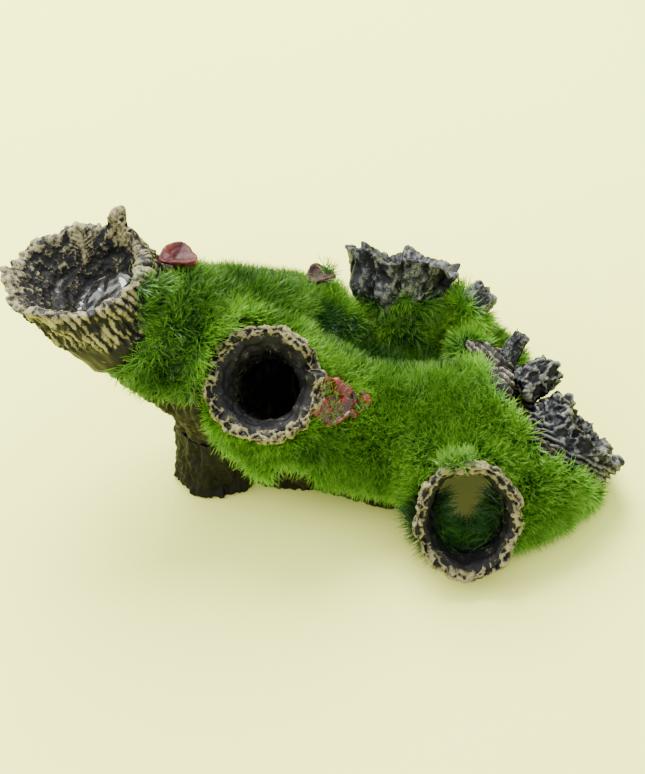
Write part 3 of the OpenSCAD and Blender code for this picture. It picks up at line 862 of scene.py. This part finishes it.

# %% [markdown]
# ### Planting with Geometry Nodes
# The tree scatters points over a bed, leans each fibre with its tuft, tosses it a little
# and turns it round itself. A patch of noise sets its tone, and painted light goes on the longest
# fibres and the coat's edge, with painted light and shadow per area. Instances keep the tree fast, and it
# ends in real meshes because the export drops instances.
# %% The flock tree


def flock_tree():
    """Scatters leaning fibres over a bed, and marks each with its tone and painted light."""
    tree = bpy.data.node_groups.new("flock", "GeometryNodeTree")
    tree.is_modifier = True
    # Brighten moves a whole area's colour up and down: painted light on the saddle and the branch tuft,
    # painted shadow in the valley and the knot's throat
    sockets = (
        ("Bed", "NodeSocketGeometry", None), ("Fibres per mm2", "NodeSocketFloat", 12.0),
        ("Length", "NodeSocketFloat", 5.4 * MM), ("Width", "NodeSocketFloat", 0.11 * MM),
        ("Lean", "NodeSocketFloat", 1.6), ("Jitter", "NodeSocketFloat", 0.9),
        ("Glow", "NodeSocketFloat", 0.0), ("Seed", "NodeSocketInt", 1),
    )
    for name, kind, value in sockets:
        socket = tree.interface.new_socket(name=name, in_out="INPUT", socket_type=kind)
        if value is not None:
            socket.default_value = value
    tree.interface.new_socket(name="Flock", in_out="OUTPUT", socket_type="NodeSocketGeometry")
    given = add(tree, "NodeGroupInput").outputs
    cover = add(tree, "GeometryNodeInputNamedAttribute", {"Name": "cover"}, data_type="FLOAT").outputs[0]
    dense = add(tree, "ShaderNodeMath", {0: given["Fibres per mm2"], 1: cover}, operation="MULTIPLY")
    dense = dense.outputs[0]
    dense = add(tree, "ShaderNodeMath", {0: dense, 1: 1 / MM**2}, operation="MULTIPLY").outputs[0]
    scatter = add(
        tree, "GeometryNodeDistributePointsOnFaces",
        {"Mesh": given["Bed"], "Density": dense, "Seed": given["Seed"]}, distribute_method="RANDOM",
    )
    place = add(tree, "GeometryNodeInputPosition").outputs[0]
    tuft = add(tree, "ShaderNodeTexNoise", {"Vector": place, "Scale": 1 / (9 * MM), "Detail": 1.0})
    sway = add(
        tree, "ShaderNodeVectorMath", {0: tuft.outputs["Color"], 1: (0.5, 0.5, 0.5)}, operation="SUBTRACT"
    ).outputs[0]
    lean = add(tree, "ShaderNodeMath", {0: given["Lean"], 1: 2.0}, operation="MULTIPLY").outputs[0]
    sway = add(tree, "ShaderNodeVectorMath", {0: sway, "Scale": lean}, operation="SCALE").outputs[0]
    toss = add(
        tree, "FunctionNodeRandomValue", {0: (-1, -1, -1), 1: (1, 1, 1), "Seed": 3}, data_type="FLOAT_VECTOR"
    ).outputs[0]
    toss = add(
        tree, "ShaderNodeVectorMath", {0: toss, "Scale": given["Jitter"]}, operation="SCALE"
    ).outputs[0]
    toss = add(tree, "ShaderNodeVectorMath", {0: toss, 1: (0, 0, 0.15)}, operation="ADD").outputs[0]
    way = scatter.outputs["Normal"]
    for push in (sway, toss):
        way = add(tree, "ShaderNodeVectorMath", {0: way, 1: push}, operation="ADD").outputs[0]
    turn = add(tree, "FunctionNodeAlignRotationToVector", {"Vector": way}, axis="Z").outputs[0]
    spin = add(tree, "FunctionNodeRandomValue", {2: 0.0, 3: 6.28, "Seed": 5}, data_type="FLOAT").outputs[1]
    spin = add(tree, "ShaderNodeCombineXYZ", {"Z": spin}).outputs[0]
    spin = add(tree, "FunctionNodeEulerToRotation", {0: spin}).outputs[0]
    turn = add(tree, "FunctionNodeRotateRotation", {0: turn, 1: spin}, rotation_space="LOCAL").outputs[0]
    own = add(tree, "FunctionNodeRandomValue", {2: 0.0, 3: 1.0, "Seed": 7}, data_type="FLOAT").outputs[1]
    size = add(tree, "ShaderNodeMath", {0: own, 1: 0.65, 2: 0.5}, operation="MULTIPLY_ADD").outputs[0]
    long = add(tree, "ShaderNodeMath", {0: given["Length"], 1: size}, operation="MULTIPLY").outputs[0]
    scale = add(tree, "ShaderNodeCombineXYZ", {"X": given["Width"], "Y": given["Width"], "Z": long})
    patch = add(tree, "ShaderNodeTexNoise", {"Vector": place, "Scale": 1 / (14 * MM), "Detail": 2.0})
    shade = add(
        tree, "ShaderNodeMapRange",
        {"Value": patch.outputs["Fac"], "From Min": 0.35, "From Max": 0.65, "To Max": 0.22},
    ).outputs[0]
    # Painted light: the longest fibres are made palest, as if they caught the light
    catch_light = add(tree, "ShaderNodeMath", {0: own, 1: 3.0}, operation="POWER").outputs[0]
    # Painted light at the coat's edge
    brink = add(tree, "GeometryNodeInputNamedAttribute", {"Name": "brink"}, data_type="FLOAT").outputs[0]
    for part, weight in ((catch_light, 0.32), (brink, 0.85), (given["Glow"], 1.0)):
        shade = add(tree, "ShaderNodeMath", {0: part, 1: weight, 2: shade}, operation="MULTIPLY_ADD")
        shade = shade.outputs[0]
    marked = add(
        tree, "GeometryNodeStoreNamedAttribute",
        {"Geometry": scatter.outputs["Points"], "Name": "shade", "Value": shade},
        data_type="FLOAT", domain="POINT",
    ).outputs[0]
    kinds = add(
        tree, "GeometryNodeCollectionInfo",
        {"Collection": FIBRES, "Separate Children": True, "Reset Children": True},
    ).outputs[0]
    planted = add(
        tree, "GeometryNodeInstanceOnPoints",
        {
            "Points": marked, "Instance": kinds, "Pick Instance": True, "Rotation": turn,
            "Scale": scale.outputs[0],
        },
    ).outputs[0]
    real = add(tree, "GeometryNodeRealizeInstances", {"Geometry": planted}).outputs[0]
    done = add(tree, "GeometryNodeSetMaterial", {"Geometry": real, "Material": NYLON}).outputs[0]
    add(tree, "NodeGroupOutput", {"Flock": done})
    return tree


FLOCK = flock_tree()
INPUT = {s.name: s.identifier for s in FLOCK.interface.items_tree if s.in_out == "INPUT"}
print("Inputs of the flock tree:", ", ".join(INPUT))

# %% The moss


def plant(name, seed, **settings):
    """The flock of one moss node, made into a plain mesh of fibres."""
    piece = bpy.data.objects.new(name + "_fibres", beds[name])
    bpy.context.collection.objects.link(piece)
    grow = piece.modifiers.new("grow", "NODES")
    grow.node_group = FLOCK
    grow[INPUT["Seed"]] = seed
    for key, value in settings.items():
        grow[INPUT[key.replace("_", " ")]] = value
    fibres = bpy.data.meshes.new_from_object(piece.evaluated_get(bpy.context.evaluated_depsgraph_get()))
    piece.modifiers.clear()
    piece.data = fibres
    points = read_points(fibres)[0]
    points[:, 2] = np.maximum(points[:, 2], 0.1)
    fibres.vertices.foreach_set("co", (points * MM).ravel())
    fibres.update()
    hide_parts(name)
    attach(piece, "root")
    print(f"{name}: {len(fibres.polygons) // 6} fibres")
    return piece


# Areas that differ: thin, tangled and a little darker on the arm; short, with painted shadow, in the valley;
# a little paler on the saddle and a long tuft on the branch, both painted light; long strands with painted
# shadow in the throat
SPECIAL = {
    "moss_left_arm": {"Fibres_per_mm2": 8.5, "Jitter": 1.2, "Glow": -0.1},
    "moss_valley": {"Length": 4.6 * MM, "Glow": -0.35},
    "moss_right_saddle": {"Glow": 0.15},
    "moss_branch_tuft": {"Length": 7.0 * MM, "Fibres_per_mm2": 16.0, "Glow": 0.5},
    "moss_front_knot_floor": {"Length": 8.5 * MM, "Fibres_per_mm2": 9.0, "Glow": -0.6},
}
for seed, name in enumerate(MOSS, 1):
    plant(name, seed, **SPECIAL.get(name, {}))

# %% [markdown]
# ## Studio
# A sheet of pale paper, an even sky and one broad soft light from high behind on the left,
# so the shadows stay faint and the wet varnish gets clear highlights. A weak fill from the
# left keeps the mouth's outer wall from going black.
# %% Paper
bpy.ops.mesh.primitive_plane_add(size=4)
floor = bpy.context.object
floor.name = "paper"
# Matt paper: a warm and nearly white ground. Its tint is stronger here than it looks, because
# the bright sky washes it out.
paper, tree, surface = shader("pale_paper", Roughness=0.9, Specular_IOR_Level=0.0)
place = add(tree, "ShaderNodeTexCoord").outputs["Object"]
fibre = add(tree, "ShaderNodeTexNoise", {"Vector": place, "Scale": 6.0, "Detail": 2.0}).outputs["Fac"]
sheet = add(tree, "ShaderNodeValToRGB", {"Fac": fibre}, ((0.3, "f6fc80"), (0.7, "f9fe88")))
tree.links.new(sheet.outputs["Color"], surface.inputs["Base Color"])
floor.data.materials.append(paper)
print("A sheet of paper", round(floor.dimensions.x, 1), "m wide")

# %% Lights


def soft_light(name, place, size, watts):
    """A square area light of size metres that looks at the ornament."""
    lamp = bpy.data.lights.new(name, "AREA")
    lamp.size, lamp.energy = size, watts
    holder = bpy.data.objects.new(name, lamp)
    holder.location = place
    holder.rotation_euler = (-Vector(place)).to_track_quat("-Z", "Y").to_euler()
    bpy.context.collection.objects.link(holder)


soft_light("key", (-0.25, 0.75, 0.95), 0.8, 50)
soft_light("fill", (-0.9, 0.1, 0.8), 0.9, 12)
world = bpy.data.worlds.new("even_sky")
world.use_nodes = True
world.node_tree.nodes["Background"].inputs["Color"].default_value = linear("f4f6f2")
world.node_tree.nodes["Background"].inputs["Strength"].default_value = 2.1
bpy.context.scene.world = world
print("Lights:", ", ".join(light.name for light in bpy.data.lights))

# %% Camera, 600 mm away and 45 degrees up
AIM, DISTANCE, ELEVATION = Vector((0.8, -1.5, 29.85)) * MM, 600 * MM, math.radians(45)
look = Vector((0, math.cos(ELEVATION), -math.sin(ELEVATION)))
camera = bpy.data.objects.new("camera", bpy.data.cameras.new("camera"))
camera.data.lens = 97.7
camera.location = AIM - look * DISTANCE
camera.rotation_euler = look.to_track_quat("-Z", "Y").to_euler()
bpy.context.collection.objects.link(camera)
bpy.context.scene.camera = camera
print("Camera at", [round(v / MM) for v in camera.location], "mm")
